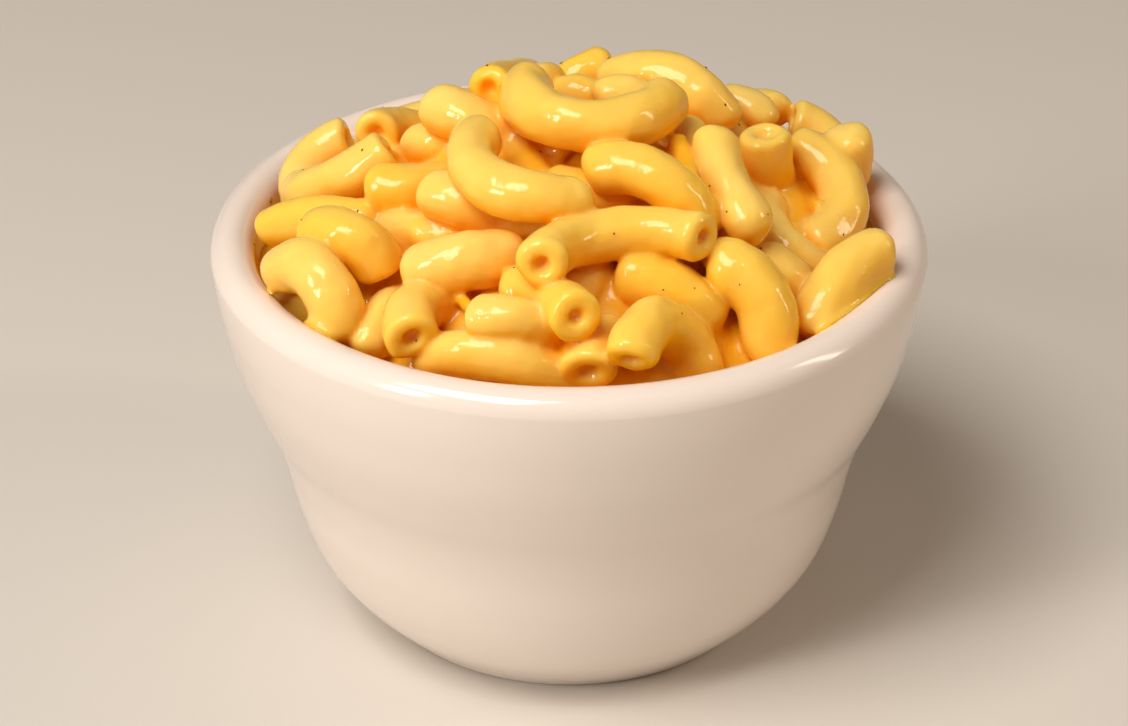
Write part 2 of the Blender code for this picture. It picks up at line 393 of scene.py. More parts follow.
@dataclass(frozen=True)
class GroundPepper:
    """Ground black pepper: dry broken husk, near black with brown edges."""

    husk: str = "3A2414"
    edge: str = "7A4A22"
    flake_mm: float = 0.3

    def make(self) -> bpy.types.Material:
        """Builds the material."""
        material, tree, shader, place = new_material("ground_pepper_husk")
        tint = mixed(tree, noise(tree, place, self.flake_mm), self.husk, self.edge)
        feed(shader, {"Roughness": 0.5}, {"Base Color": tint})
        return material


@dataclass(frozen=True)
class PaleTable:
    """Plain matt painted board for the object to stand on."""

    paint: str = "DBD6CE"
    nap_mm: float = 2.0

    def make(self) -> bpy.types.Material:
        """Builds the material."""
        material, tree, shader, place = new_material("pale_painted_board")
        nap = bump(tree, noise(tree, place, self.nap_mm), 0.05, 0.1)
        feed(shader, {"Base Color": linear(self.paint), "Roughness": 0.6}, {"Normal": nap})
        return material


# ---- Bowl --------------------


def smooth_line(stations: list[Span], steps: int) -> list[Span]:
    """Reads points from a smooth curve through the stations.

    Args:
        stations: Pairs of radius and height.
        steps: How many points each span gives.

    Returns:
        The points, with the last station last.
    """
    padded = [stations[0], *stations, stations[-1]]
    line: list[Span] = []
    for before, start, end, after in zip(padded, padded[1:], padded[2:], padded[3:]):
        for step in range(steps):
            t = step / steps
            weights = (
                (-t + 2 * t**2 - t**3) / 2,
                (2 - 5 * t**2 + 3 * t**3) / 2,
                (t + 4 * t**2 - 3 * t**3) / 2,
                (-(t**2) + t**3) / 2,
            )
            spots = (before, start, end, after)
            radius, height = (sum(w * spot[axis] for w, spot in zip(weights, spots)) for axis in (0, 1))
            line.append((radius, height))
    return [*line, stations[-1]]


def quarter(centre: Span, radius: float, first: float, last: float, steps: int) -> list[Span]:
    """Points of a round edge.

    Args:
        centre: Radius and height of the edge's centre.
        radius: The edge's own radius.
        first: The angle it starts at, in degrees from outwards.
        last: The angle it ends at.
        steps: How many spans it has.

    Returns:
        Pairs of radius and height.
    """
    angles = [math.radians(first + (last - first) * step / steps) for step in range(steps + 1)]
    return [(centre[0] + radius * math.cos(a), centre[1] + radius * math.sin(a)) for a in angles]


@dataclass
class ChinaBowl:
    """The turned bowl: foot ring, waisted belly, thick rolled lip."""

    height: float
    lip_thickness: float = 6.0
    lip_centre_radius: float = 46.0
    foot_radius: float = 27.5
    foot_bearing_width: float = 2.4
    foot_edge: float = 0.9
    foot_recess: float = 2.4
    recess_radius: float = 22.6
    recess_dome: float = 0.6
    recess_slope: float = 56.0
    recess_turn: float = 0.8
    ring_turn: float = 0.45
    bare_height: float = 0.12
    floor_radius: float = 24.0
    floor_height: float = 7.5
    belly: list[Span] = field(
        default_factory=lambda: [
            (29.6, 2.6), (33.4, 6.8), (36.6, 11.8), (38.7, 18.2), (40.0, 24.2),
            (41.6, 29.6), (43.9, 34.6), (46.4, 41.3), (48.1, 48.6),
        ]
    )
    inside: list[Span] = field(
        default_factory=lambda: [
            (43.2, 48.6), (41.7, 41.3), (39.0, 34.4), (36.4, 28.4), (34.2, 19.0), (30.6, 11.2),
        ]
    )
    segments: int = 192

    def profile(self) -> list[Span]:
        """The section from the middle of the underside, out and up over the lip, to the floor."""
        bearing = self.foot_radius - self.foot_edge
        inner = bearing - self.foot_bearing_width
        lip = self.lip_thickness / 2
        deep, dome, turn = self.foot_recess, self.recess_dome, self.recess_turn
        recess = [
            *[(self.recess_radius * share, deep + dome * (1 - share)) for share in (0.0, 0.5, 0.9)],
            *quarter((self.recess_radius, deep - turn), turn, 90, 90 - self.recess_slope, 4),
            *quarter((inner, self.ring_turn), self.ring_turn, 270 - self.recess_slope, 270, 4),
        ]
        foot = quarter((bearing, self.foot_edge), self.foot_edge, -90, -10, 6)
        rolled = quarter((self.lip_centre_radius, self.height - lip), lip, 0, 180, 28)
        floor = [(self.floor_radius * share, self.floor_height) for share in (1.0, 0.5, 0.0)]
        return [*recess, *foot, *smooth_line(self.belly, 6), *rolled, *smooth_line(self.inside, 3), *floor]

    def section_distance(self, radius: np.ndarray, height: np.ndarray) -> np.ndarray:
        """Signed distance to the china in its section, negative inside the china.

        Args:
            radius: Distances from the axis.
            height: Heights over the foot.

        Returns:
            One distance for each pair.
        """
        line = np.array(self.profile())
        loop = np.vstack([line, [[0.0, self.foot_recess]]])
        nearest = np.full(radius.shape, np.inf)
        inside = np.zeros(radius.shape, bool)
        for (r0, z0), (r1, z1) in zip(loop, np.roll(loop, -1, axis=0)):
            dr, dz = r1 - r0, z1 - z0
            length = dr * dr + dz * dz
            if length < TINY:
                continue
            share = np.clip(((radius - r0) * dr + (height - z0) * dz) / length, 0, 1)
            nearest = np.minimum(nearest, np.hypot(radius - r0 - share * dr, height - z0 - share * dz))
            crosses = (z0 > height) != (z1 > height)
            with np.errstate(divide="ignore", invalid="ignore"):
                inside ^= crosses & (radius < r0 + (height - z0) / (dz if dz else TINY) * dr)
        return np.where(inside, -nearest, nearest)

    def build(self) -> bpy.types.Object:
        """Turns the section about the axis and dresses it."""
        profile = self.profile()
        angles = np.arange(self.segments) * 2 * math.pi / self.segments
        rings = [
            np.column_stack([r * np.cos(angles), r * np.sin(angles), np.full(self.segments, z)])
            for r, z in profile[1:-1]
        ]
        points = np.vstack([[(0, 0, profile[0][1])], *rings, [(0, 0, profile[-1][1])]])
        last = len(points) - 1
        faces: list[tuple[int, ...]] = []
        bare: list[bool] = []
        for ring in range(len(rings) - 1):
            heights = (profile[ring + 1][1], profile[ring + 2][1])
            for segment in range(self.segments):
                following = (segment + 1) % self.segments
                low, high = 1 + ring * self.segments, 1 + (ring + 1) * self.segments
                faces.append((low + segment, low + following, high + following, high + segment))
                bare.append(max(heights) < self.bare_height)
        top = 1 + (len(rings) - 1) * self.segments
        for segment in range(self.segments):
            following = (segment + 1) % self.segments
            faces += [(0, 1 + following, 1 + segment), (last, top + segment, top + following)]
            bare += [False, False]
        piece = new_piece("china_bowl", points, faces, [GlazedChina().make(), BareChina().make()])
        piece.data.polygons.foreach_set("material_index", np.array(bare, np.int32))
        return join_to_root(piece, "white_china", "bowl")


# ---- Elbows: where each one lies --------------------


@dataclass
class Elbow:
    """One elbow of macaroni, or one thread of sauce: a round arc, each end cut open or pressed shut.

    A bore is a dimple that goes in only a little way.
    """

    start: Spot
    middle: Spot
    end: Spot
    thickness: float
    cut: Cut = Cut.NEITHER
    tone: float = 0.5
    bore_share: float = 0.38
    bore_depth: float = 2.4
    lip: float = 0.9
    shut_share: float = 0.7
    bore_edge: float = 1.1
    least_turn: float = 0.5

    def __post_init__(self) -> None:
        """Works out the arc's circle from its three points."""
        start, middle, end = (np.array(spot, float) for spot in (self.start, self.middle, self.end))
        to_middle, to_end = middle - start, end - start
        normal = np.cross(to_middle, to_end)
        size = normal @ normal
        share = (to_end @ to_end) * np.cross(normal, to_middle)
        share += (to_middle @ to_middle) * np.cross(to_end, normal)
        self.centre = start + share / (2 * size)
        self.bend_radius = float(np.linalg.norm(start - self.centre))
        self.across = (start - self.centre) / self.bend_radius
        self.up = normal / math.sqrt(size)
        self.along = np.cross(self.up, self.across)
        out = end - self.centre
        self.sweep = math.atan2(out @ self.along, out @ self.across) % (2 * math.pi)
        self.radius = self.thickness / 2
        line = self.centre_line(24)
        self.low = line.min(axis=0) - self.radius
        self.high = line.max(axis=0) + self.radius

    def centre_line(self, steps: int) -> np.ndarray:
        """Points along the middle of the tube."""
        return self.spots(np.linspace(0, self.sweep, steps), np.zeros(steps), np.zeros(steps))

    def spots(self, angle: np.ndarray, reach: np.ndarray, around: np.ndarray) -> np.ndarray:
        """Places in space from the tube's own measures.

        Args:
            angle: The turn along the bend, from the first end.
            reach: Distance from the middle of the tube.
            around: The angle round the tube.

        Returns:
            Rows of x, y, z.
        """
        out = self.bend_radius + reach * np.cos(around)
        return (
            self.centre
            + (out * np.cos(angle))[:, None] * self.across
            + (out * np.sin(angle))[:, None] * self.along
            + (reach * np.sin(around))[:, None] * self.up
        )

    def distance(self, points: np.ndarray) -> np.ndarray:
        """Signed distance to the elbow's surface, negative in the pasta.

        Args:
            points: Rows of x, y, z.

        Returns:
            One distance for each point.
        """
        off = points - self.centre
        x, y, z = off @ self.across, off @ self.along, off @ self.up
        out = np.hypot(x, y)
        half = self.sweep / 2
        angle = (np.arctan2(y, x) - half + math.pi) % (2 * math.pi) - math.pi
        is_cut = np.where(angle < 0, self.cut.value[0], self.cut.value[1])
        past_end = (np.abs(angle) - half) * np.maximum(out, self.least_turn)
        reach = np.hypot(out - self.bend_radius, z)
        lip = np.where(is_cut, self.lip, self.radius * self.shut_share)
        beyond, aside = past_end + lip, reach - self.radius + lip
        rounded = np.hypot(np.maximum(beyond, 0), np.maximum(aside, 0))
        body = rounded + np.minimum(np.maximum(beyond, aside), 0) - lip
        width = self.radius * self.bore_share
        share = np.hypot(reach / width, past_end / self.bore_depth)
        rise = np.hypot(reach / width**2, past_end / self.bore_depth**2)
        dimple = share * (share - 1) / np.maximum(rise, TINY)
        return np.where(is_cut, -soft_least(-body, dimple, self.bore_edge), body)


def soft_least(one: np.ndarray, other: np.ndarray, reach: np.ndarray | float) -> np.ndarray:
    """The lesser of two distances, rounded over where they are nearly the same.

    Args:
        one: Signed distances.
        other: Signed distances.
        reach: How far apart they may be and still blend.

    Returns:
        The blended distances.
    """
    close = np.maximum(reach - np.abs(one - other), 0) / reach
    return np.minimum(one, other) - close * close * reach / 4


# The top layer's elbows, by place: one end, the middle of the bend, the other end, the thickness
# and, where an end is cut open, which one.
CROWN: list[Row] = [
    ((-4.5, 6.5, 18), (1.5, -7, 18), (12.4, 2, 17.8), 7.0),
    ((6, 17.5, 12), (12, 13.5, 15.5), (21.5, 9.5, 9.8), 7.0),
    ((-1, 23.5, 9), (2.5, 24.5, 11), (6, 25.5, 12), 6.0),
    ((-18, 6.5, 14), (-13.5, 3, 14), (-7, 5, 10.5), 6.8),
    ((-11, 6, 17), (-9, 13.5, 14.5), (-6, 25, 9.5), 6.2, Cut.FIRST),
    ((4, 7, 14.5), (7, 7.5, 15.5), (10.5, 7, 14.5), 5.4),
    ((-1.5, 12.5, 12), (1, 11.5, 14), (4, 11.5, 12), 5.0),
    ((-10.6, -5, 15.6), (-11, -17.5, 15.3), (2, -19, 13.3), 6.4),
    ((2.8, -12, 13.2), (11.2, -14.5, 14.2), (16.9, -17, 6.5), 6.8),
    ((-9, 2.5, 10), (-4, 0.5, 10.6), (0.4, -2.5, 10.4), 6.6, Cut.LAST),
    ((-7.5, 12, 14), (-5, 12.5, 15), (-3.4, 16.5, 12.5), 4.6),
    ((-3, -8, 9), (2.5, -10.5, 9.6), (8, -9, 9), 6.4),
]
LEFT: list[Row] = [
    ((-31, 16.5, 4.6), (-35.2, 15, 2.6), (-36.8, 8, -0.4), 6.2, Cut.FIRST),
    ((-24.5, 1, 10), (-30.5, 1, 6), (-37.5, 8.5, 0.5), 6.6, Cut.FIRST),
    ((-26.2, 8, 9.3), (-24.2, 13.5, 7.7), (-20.5, 15.5, 5.5), 5.8, Cut.FIRST),
    ((-20.8, 8, 7.8), (-17.2, 5.5, 9.2), (-13, 7.5, 7.5), 5.8),
    ((-26.2, -5.2, 7.4), (-21, -6, 8), (-15.5, -0.5, 5.5), 6.8),
    ((-18.4, -11.5, 10), (-13.2, -14, 9.8), (-8, -8, 4), 6.6),
    ((-41, -2.5, -0.2), (-34.5, -6, 3.6), (-26, -8, 3.8), 5.8),
    ((-33.4, -13.5, 4.2), (-28.8, -17, 6.3), (-25.2, -18, 2.5), 7.0, Cut.LAST),
    ((-38, -17, 0), (-34.2, -21, 4), (-30.2, -26, -3), 7.0),
    ((-38, -12, -7), (-35.5, -16, -4), (-31.5, -18.5, -4.5), 6.0),
]
FRONT: list[Row] = [
    ((-20.2, -22, 3.8), (-14.5, -24, 6.3), (-7.5, -20.5, 5.8), 7.2),
    ((-24.5, -9, 2.5), (-19, -12.5, 4.5), (-14, -13, 3.5), 5.8),
    ((-20, -36, 1.7), (-19.8, -28.5, 2), (-9.5, -21, -2.4), 7.0, Cut.FIRST),
    ((-26.8, -28, -5), (-25, -25.5, -2.4), (-21.5, -17, -5), 6.2),
    ((-18, -31.5, -4.6), (-10.5, -36, -0.4), (-1, -34.5, -5.6), 6.6),
    ((-12, -34, 3.6), (-8.4, -35.2, 4.4), (-3, -29.5, -1.5), 5.4),
    ((1, -38, 6), (-2, -32, 5), (-8.5, -26.5, 4), 6.6, Cut.FIRST),
    ((-3.5, -33, 11), (0, -25.5, 10), (17.2, -25, 10.6), 6.3, Cut.BOTH),
    ((6.6, -23.5, 4), (13, -25.5, 3), (18.6, -25.5, -1.8), 7.6),
    ((2.4, -38.5, -1.9), (3.2, -33.8, -0.9), (5, -29, -2.3), 7.0, Cut.FIRST),
    ((7.9, -41, 1.7), (11, -34, 2.7), (16.8, -32.5, -7), 6.6, Cut.FIRST),
    ((21, -18.5, -6.5), (24, -19.5, -7.5), (26.5, -20.5, -9.5), 6.6),
    ((-20.8, -14.5, 4), (-18.2, -12.5, 4.9), (-15, -9.5, 3.3), 4.8),
]
RIGHT: list[Row] = [
    ((19.5, -3, 15), (20.5, -9.5, 11.5), (25, -18, 7.5), 6.2),
    ((15.5, 5.5, 12.5), (16.5, -0.5, 9.5), (18.5, -7, 6), 6.0),
    ((26.4, 2.5, 12.2), (27, 3.2, 7), (28.5, 6.5, 1), 6.6, Cut.FIRST),
    ((30.5, 9, 6.5), (37.2, 3, 3.5), (32, -6.5, -0.8), 6.8),
    ((31.6, 21, 5.2), (34.6, 20.5, 4), (37.6, 18, 2), 6.0, Cut.FIRST),
    ((37.7, 9.5, 9.4), (38.5, 10, 5.4), (38, 11.5, 1), 6.8),
    ((24, 24, 4), (27, 24.5, 5.2), (29.6, 22.5, 4.8), 5.8),
    ((21.5, 17.5, 9), (25, 16.5, 9.5), (27, 14.5, 7.5), 5.2),
    ((31, 6, -3), (33.5, 2.5, -1), (36.5, 7.5, -5), 6.0),
    ((42.2, -13, 3), (36.8, -17.8, 1.8), (31.2, -24.6, -4), 6.6),
    ((25, -14, 2), (28, -16, 0.5), (31, -16.5, -2.5), 6.2),
    ((18.2, -22.5, 5), (24.6, -25, 3), (24.4, -28.5, -5.4), 7.4),
]
BACK: list[Row] = [
    ((1, 34.5, 4.5), (7, 37.5, 2.5), (14.5, 34.8, 1.5), 6.6),
    ((9, 27.5, 7.4), (15, 31, 5), (21, 28, 3.2), 6.8),
    ((17, 34.5, 0), (24, 31.5, -1), (29.5, 26.5, -2), 6.6),
    ((-12.5, 28.5, 2.6), (-7.5, 33, 1.6), (-1, 29.5, 4.6), 6.8),
    ((-26, 20.5, 3), (-21.5, 25.5, 2), (-15, 20.5, 6.5), 6.8),
    ((-31, 20.5, -1.5), (-27.5, 27, -3.5), (-19.5, 31, -2), 6.8),
    ((-16, 35, -4), (-8.5, 37.5, -3.5), (-1, 38, -3), 6.4),
    ((3, 38.8, -4.5), (12, 38, -4.5), (20, 34, -5), 6.4),
    ((27, 29, -4.5), (33, 23.5, -3), (37, 17, -4), 6.4),
    ((9, 21.5, 7.5), (14.5, 22.5, 9), (19, 21.5, 5.5), 6.2),
    ((-17.5, 13, 7.5), (-14.5, 17.5, 8), (-10, 20.5, 6), 6.2),
]


# Threads of sauce drawn out between elbows: one end, the middle, the other end and the thickness.
STRANDS: list[Row] = [
    ((-8.2, -29.5, 5.2), (-7.2, -32, 3.4), (-6, -34, 1.1), 1.1),
    ((-4.6, -30.4, 6.0), (-3.8, -31.4, 4.4), (-2.8, -33, 3.1), 0.9),
    ((-25.3, 2, 10.8), (-24.6, 4.2, 8.2), (-22.9, 6, 6.5), 1.2),
    ((0.2, 11, 14.8), (1.6, 12.6, 13.6), (3.4, 14.4, 13.2), 1.0),
    ((-1.6, 12, 14.6), (-0.6, 13.6, 13.4), (0.6, 15.4, 13.4), 0.9),
    ((14.2, -3.2, 14), (15.4, -7, 12.6), (16.1, -11.4, 12.4), 2.2),
    ((17.2, -20.6, 6.6), (18.8, -22.4, 5.0), (21.2, -23.4, 5.6), 1.2),
    ((25.2, -15.4, 3.8), (27.2, -17, 2.2), (29.6, -18.2, 1.4), 1.5),
    ((33.6, -1.6, 4.0), (34.4, -3.4, 2.4), (35.6, -6, 2.4), 1.1),
    ((-15.2, -25.4, 4.0), (-13.6, -27.4, 2.4), (-12.4, -30.6, 3.2), 1.2),
]


@dataclass(frozen=True)
class Dome:
    """The mound that the pooled sauce and the elbows beneath follow, over the rim's plane."""

    rise: float = 16.5
    edge: float = -1.5
    reach: float = 40.0
    power: float = 2.2
    middle: Span = (1.0, 4.0)

    def height(self, x: np.ndarray | float, y: np.ndarray | float) -> np.ndarray:
        """Height of the mound over the rim's plane at x, y."""
        share = np.hypot(x - self.middle[0], y - self.middle[1]) / self.reach
        return self.rise - (self.rise - self.edge) * share**self.power


@dataclass
class HeapLayout:
    """Where every elbow lies: those with a row of their own, and those drawn beneath them by a seed."""

    dome: Dome = field(default_factory=Dome)
    seed: int = 7
    reach: float = 39.2
    span: Span = (10.5, 17.5)
    bulge: Span = (3.0, 7.0)
    thickness: Span = (6.0, 7.4)
    tilt: float = 2.0
    sink: float = 6.0
    tries: int = 6000
    touch: Span = (0.74, 0.58)
    line_points: int = 12
    tones: Span = (0.25, 0.8)
    bore_shares: Span = (0.36, 0.44)
    bore_depths: Span = (1.3, 2.0)
    lips: Span = (0.7, 1.2)

    def drawn(self, draw: np.random.Generator) -> Elbow | None:
        """Draws one elbow lying under the mound's top layer.

        Args:
            draw: The source of random numbers.

        Returns:
            The elbow, or None where it would leave the bowl.
        """
        away = self.reach * math.sqrt(draw.uniform())
        bearing, heading = draw.uniform(0, 2 * math.pi, 2)
        half = draw.uniform(*self.span) / 2
        bulge = draw.uniform(*self.bulge)
        thickness = draw.uniform(*self.thickness)
        tilt = draw.uniform(-self.tilt, self.tilt)
        x, y = away * math.cos(bearing), away * math.sin(bearing)
        along = (math.cos(heading), math.sin(heading))
        flat = [
            (x - half * along[0], y - half * along[1]),
            (x - bulge * along[1], y + bulge * along[0]),
            (x + half * along[0], y + half * along[1]),
        ]
        if max(math.hypot(*spot) for spot in flat) > self.reach:
            return None
        lifts = (-tilt, 0.0, tilt)
        heights = [float(self.dome.height(*spot)) - self.sink + lift for spot, lift in zip(flat, lifts)]
        spots = [(*spot, height) for spot, height in zip(flat, heights)]
        return Elbow(*spots, thickness, Cut.BOTH)

    def beneath(self, draw: np.random.Generator, laid: list[Elbow]) -> list[Elbow]:
        """Draws elbows one layer down, which show through the gaps.

        Args:
            draw: The source of random numbers.
            laid: The elbows of the top layer.

        Returns:
            Those that scarcely press into the others.
        """
        upper = [(elbow.centre_line(self.line_points), elbow.radius) for elbow in laid]
        lower: list[tuple[np.ndarray, float]] = []
        added: list[Elbow] = []
        for _ in range(self.tries):
            elbow = self.drawn(draw)
            if elbow is None:
                continue
            line = elbow.centre_line(self.line_points)
            if all(
                np.linalg.norm(line[:, None] - other[None], axis=2).min() > touch * (elbow.radius + radius)
                for touch, tubes in zip(self.touch, (lower, upper))
                for other, radius in tubes
            ):
                lower.append((line, elbow.radius))
                added.append(elbow)
        return added

    def elbows(self) -> list[Elbow]:
        """Every elbow of the heap, each with its own tone and bore."""
        laid = [Elbow(*row) for row in CROWN + LEFT + FRONT + RIGHT]
        laid += [Elbow(*row, Cut.BOTH) for row in BACK]
        draw = np.random.default_rng(self.seed)
        every = laid + self.beneath(draw, laid)
        for elbow in every:
            elbow.tone = float(draw.uniform(*self.tones))
            elbow.bore_share = float(draw.uniform(*self.bore_shares))
            elbow.bore_depth = float(draw.uniform(*self.bore_depths))
            elbow.lip = float(draw.uniform(*self.lips))
        LOG.info("elbows: %d in the top layer, %d beneath", len(laid), len(every) - len(laid))
        return every


# ---- Sauce --------------------


@dataclass
class SauceBody:
    """The sauce as one body: a coat on every elbow, fillets where they touch, and a pool beneath.

    It creeps a little up the china, and smears climb higher in places. Its skin is paler where it faces
    towards the top softbox and deeper orange on the sides turned from it: partly sauce that ran off and
    gathered there, partly painted shade. Crowded crevices get painted shade too. Of run-off shade, pool
    and crevice shade, each range says where a share starts and over how wide a span it grows.
    """

    elbows: list[Elbow]
    strands: list[Elbow]
    bowl: ChinaBowl
    dome: Dome
    cell: float = 0.42
    adaptivity: float = 0.05
    reach: float = 44.6
    bottom: float = -13.0
    top: float = 23.0
    pool_sink: float = 4.0
    pool_lowest: float = -9.0
    pool_slope: float = 0.8
    pool_swing: float = 0.6
    coat: float = 0.2
    coat_swing: float = 0.05
    fillet: Span = (0.3, 1.1)
    wall_fillet: float = 2.2
    wall_climb: float = 0.9
    smear_climb: float = 2.4
    smear_below: float = 1.2
    film: float = 0.45
    dry_gap: float = 0.12
    wall_bite: float = 0.4
    wall_middle: float = 45.4
    wall_flare: float = 2.0
    flare_below: float = 3.0
    warp: float = 0.18
    margin: float = 3.2
    # Points towards the top softbox; skin turned away from it gets painted shade, partly sauce run-down.
    shed_and_light_way: Spot = (-0.30, -0.22, 0.93)
    runoff_and_shade_range: Span = (0.85, 1.2)
    pool_range: Span = (0.1, 0.8)
    # Painted shade in crowded crevices: where the crowding share starts and how wide it grows.
    crevice_shade_range: Span = (0.28, 0.5)
    shelter_reach: float = 3.0
    shelter_lift: float = 2.0
    sauce_tone: float = 0.4
    far: float = 9.0
    outside: float = 4.0
    table_step: float = 0.25
    table_radii: Span = (26.0, 52.0)
    table_heights: Span = (-16.0, 8.0)
    passes: int = 2
    least_slope: float = 0.3
    longest_move: float = 0.25

    def __post_init__(self) -> None:
        """Sets up the unevenness and the table of distances to the china."""
        self.warps = [Ripple(seed, 7.0, 13.0) for seed in (101, 102, 103)]
        self.coat_ripple = Ripple(104, 2.2, 5.0, 12)
        self.fillet_ripple = Ripple(105, 9.0, 20.0)
        self.pool_ripple = Ripple(106, 6.0, 14.0)
        self.smear_ripple = Ripple(107, 9.0, 22.0, 9)
        self.lumps = [*self.elbows, *self.strands]
        radii = np.arange(*self.table_radii, self.table_step)
        heights = np.arange(*self.table_heights, self.table_step)
        grid_r, grid_z = np.meshgrid(radii, heights, indexing="ij")
        self.table = self.bowl.section_distance(grid_r, grid_z + self.bowl.height)

    def warped(self, points: np.ndarray) -> np.ndarray:
        """How far the soft heap is pushed out of true at points."""
        return self.warp * np.column_stack([ripple(points) for ripple in self.warps])

    def to_china(self, points: np.ndarray) -> np.ndarray:
        """Distance to the china, from the table."""
        r = np.hypot(points[:, 0], points[:, 1])
        last_i, last_j = np.array(self.table.shape) - 1.001
        i = np.clip((r - self.table_radii[0]) / self.table_step, 0, last_i)
        j = np.clip((points[:, 2] - self.table_heights[0]) / self.table_step, 0, last_j)
        i0, j0 = i.astype(int), j.astype(int)
        u, v = i - i0, j - j0
        t = self.table
        return (
            t[i0, j0] * (1 - u) * (1 - v)
            + t[i0 + 1, j0] * u * (1 - v)
            + t[i0, j0 + 1] * (1 - u) * v
            + t[i0 + 1, j0 + 1] * u * v
        )

    def pool(self, points: np.ndarray) -> np.ndarray:
        """Distance to the pooled sauce under the elbows."""
        level = self.dome.height(points[:, 0], points[:, 1]) - self.pool_sink
        level = np.maximum(level, self.pool_lowest)
        return (points[:, 2] - level) * self.pool_slope - self.pool_swing * self.pool_ripple(points)

    def finish_distance(self, heap: np.ndarray, points: np.ndarray) -> np.ndarray:
        """Adds the coat, the fillet and smears on the china, and the ends at the lip and in the wall.

        Args:
            heap: Distances to the elbows, threads and pool.
            points: Rows of x, y, z.

        Returns:
            Distances to the finished sauce.
        """
        coated = heap - self.coat - self.coat_swing * self.coat_ripple(points)
        wall = self.to_china(points)
        smeared = np.clip(self.smear_ripple(points), 0, 1) * np.clip(-points[:, 2] - self.smear_below, 0, 1)
        climb = self.wall_climb + self.smear_climb * smeared
        film = self.film * smeared - self.dry_gap
        creeping = np.maximum(soft_least(coated, wall - film, self.wall_fillet), coated - climb)
        flare = self.wall_flare * np.maximum(points[:, 2] + self.flare_below, 0)
        past_lip = np.hypot(points[:, 0], points[:, 1]) - self.wall_middle - flare
        return np.maximum(np.maximum(creeping, -(wall + self.wall_bite)), past_lip)

    def blend_reach(self, points: np.ndarray) -> np.ndarray:
        """How wide the fillets between elbows are at points."""
        low, high = self.fillet
        return np.clip((low + high) / 2 + (high - low) / 2 * self.fillet_ripple(points), low, high)

    def grid(self) -> tuple[np.ndarray, np.ndarray]:
        """Distances over a block of cells round the heap.

        Returns:
            The distances, and the place of the block's first cell.
        """
        first = np.array([-self.reach, -self.reach, self.bottom])
        shape = (
            int(2 * self.reach / self.cell) + 1,
            int(2 * self.reach / self.cell) + 1,
            int((self.top - self.bottom) / self.cell) + 1,
        )
        axes = [first[axis] + self.cell * np.arange(shape[axis]) for axis in range(3)]
        points = np.stack(np.meshgrid(*axes, indexing="ij"), axis=-1).reshape(-1, 3)
        straight = (points - self.warped(points)).reshape(*shape, 3)
        reach = self.blend_reach(points).reshape(shape)
        heap = self.pool(straight.reshape(-1, 3)).reshape(shape)
        for elbow in self.lumps:
            low = np.floor((elbow.low - self.margin - first) / self.cell).astype(int).clip(0)
            high = np.ceil((elbow.high + self.margin - first) / self.cell).astype(int)
            high = high.clip(0, np.array(shape) - 1) + 1
            block = tuple(slice(a, b) for a, b in zip(low, high))
            near = straight[block]
            away = elbow.distance(near.reshape(-1, 3)).reshape(near.shape[:3])
            heap[block] = soft_least(heap[block], away, reach[block])
        whole = self.finish_distance(heap.reshape(-1), points).reshape(shape)
        return whole, first

    def distance(self, points: np.ndarray, near: list[np.ndarray]) -> np.ndarray:
        """Signed distance to the sauce's skin, worked out at the points themselves.

        Args:
            points: Rows of x, y, z.
            near: For each elbow and thread, the numbers of the points close to it.

        Returns:
            One distance for each point.
        """
        straight = points - self.warped(points)
        reach = self.blend_reach(points)
        heap = self.pool(straight)
        for elbow, chosen in zip(self.lumps, near):
            heap[chosen] = soft_least(heap[chosen], elbow.distance(straight[chosen]), reach[chosen])
        return self.finish_distance(heap, points)

    def close_points(self, points: np.ndarray) -> list[np.ndarray]:
        """For each elbow and thread, the numbers of the points that it can reach."""
        lists = []
        for elbow in self.lumps:
            inside = np.all((points > elbow.low - self.margin) & (points < elbow.high + self.margin), axis=1)
            lists.append(np.flatnonzero(inside))
        return lists

    def slope(self, points: np.ndarray, near: list[np.ndarray], at: np.ndarray) -> np.ndarray:
        """Gradient of the distance by small steps."""
        step = 0.02
        ways = []
        for axis in range(3):
            shifted = points.copy()
            shifted[:, axis] += step
            ways.append((self.distance(shifted, near) - at) / step)
        return np.column_stack(ways)

    def surface(self) -> tuple[np.ndarray, np.ndarray, np.ndarray, np.ndarray]:
        """The sauce's skin, drawn onto its exact place.

        Returns:
            Points, quads, normals, and the block of distances it came from.
        """
        block, first = self.grid()
        grid = openvdb.FloatGrid(self.outside)
        grid.copyFromArray(block.astype(np.float32))
        points, triangles, quads = grid.convertToPolygons(isovalue=0.0, adaptivity=self.adaptivity)
        quads = np.vstack([quads, np.column_stack([triangles, triangles[:, 2]])])
        points = points.astype(float) * self.cell + first
        near = self.close_points(points)
        for _ in range(self.passes):
            at = self.distance(points, near)
            slope = self.slope(points, near, at)
            move = at[:, None] * slope / np.maximum((slope**2).sum(axis=1), self.least_slope)[:, None]
            length = np.linalg.norm(move, axis=1)[:, None]
            points -= move * np.minimum(1.0, self.longest_move / np.maximum(length, TINY))
        normals = self.slope(points, near, self.distance(points, near))
        normals /= np.maximum(np.linalg.norm(normals, axis=1), TINY)[:, None]
        LOG.info("sauce skin: %d points, %d quads, %d triangles", len(points), len(quads), len(triangles))
        return points, quads.astype(int), normals, block

